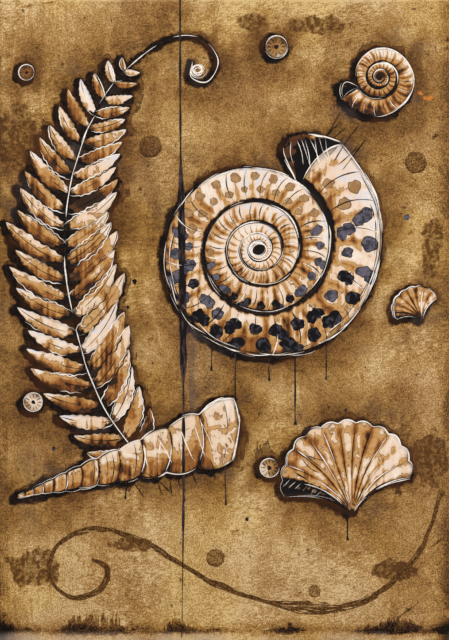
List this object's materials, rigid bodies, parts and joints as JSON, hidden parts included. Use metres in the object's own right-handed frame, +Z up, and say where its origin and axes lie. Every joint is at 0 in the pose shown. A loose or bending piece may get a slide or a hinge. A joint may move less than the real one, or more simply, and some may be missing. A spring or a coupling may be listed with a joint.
{
  "type": "painted wooden panel",
  "caption": "Upright painted wooden wall panel: a thin plywood face with a bronze ground and a fossil-shell study, on a mitred strip cradle with a toothed hanger behind.",
  "frame": {"origin": "the hanging point: the middle notch of the sawtooth hanger, half way through its steel, where it sits on the wall's nail; 13.2 mm under the panel's top edge and half way across it", "axes": "+Z up, along the panel's height; +X to the right of someone who faces the painted side; +Y into the wall, square to the panel, so the painted face looks towards -Y"},
  "size_m": [0.35, 0.0276, 0.5],
  "materials": {
    "plywood": "satin",
    "pine": "matte",
    "plated_steel": "satin",
    "nail_steel": "satin",
    "bronze_paint": "satin",
    "wash": "satin",
    "ink": "satin",
    "white_ink": "matte"
  },
  "bodies": {
    "root": {"face_panel": "plywood", "top_rail": "pine", "bottom_rail": "pine", "left_stile": "pine", "right_stile": "pine", "sawtooth_hanger": "plated_steel", "hanger_nail_left": "nail_steel", "hanger_nail_right": "nail_steel"}
  },
  "joints": []
}
